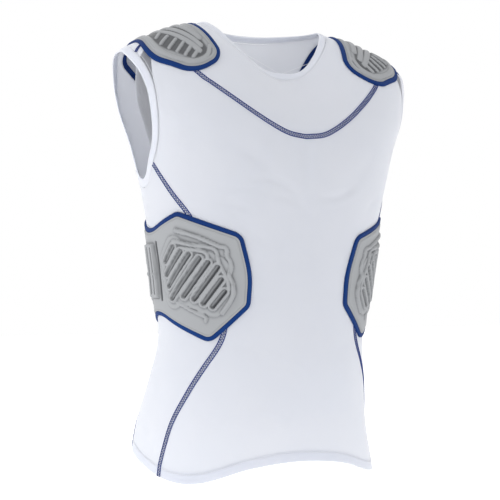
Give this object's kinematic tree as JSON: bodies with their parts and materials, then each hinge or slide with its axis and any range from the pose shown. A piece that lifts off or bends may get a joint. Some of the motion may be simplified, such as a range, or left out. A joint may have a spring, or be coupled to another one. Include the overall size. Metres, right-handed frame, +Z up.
{
  "type": "padded compression shirt",
  "caption": "Sleeveless close-fitting knit shirt in its worn form, hollow, with moulded foam pads over the shoulders and round the ribs, each edged by a dark blue binding.",
  "frame": {"origin": "midway between the two high points of the shoulders, beside the neck, where the shirt hangs on its wearer", "axes": "+Z up, the front faces -Y, +X is the wearer's left"},
  "size_m": [0.4214, 0.2628, 0.6006],
  "materials": {
    "knit": "smooth white stretch knit with a slight sheen",
    "foam": "matt light grey moulded foam",
    "binding": "flat dark blue woven binding"
  },
  "bodies": {
    "root": {"front_body": "knit", "front_yoke": "knit", "back_panel": "knit", "side_panel_left": "knit", "side_panel_right": "knit", "neck_band": "knit", "armhole_band_left": "knit", "armhole_band_right": "knit", "rib_pad_left": "foam", "rib_pad_right": "foam", "rib_trim_left": "binding", "rib_trim_right": "binding", "shoulder_pad_left": "foam", "shoulder_pad_right": "foam", "shoulder_trim_left": "binding", "shoulder_trim_right": "binding"}
  },
  "joints": []
}
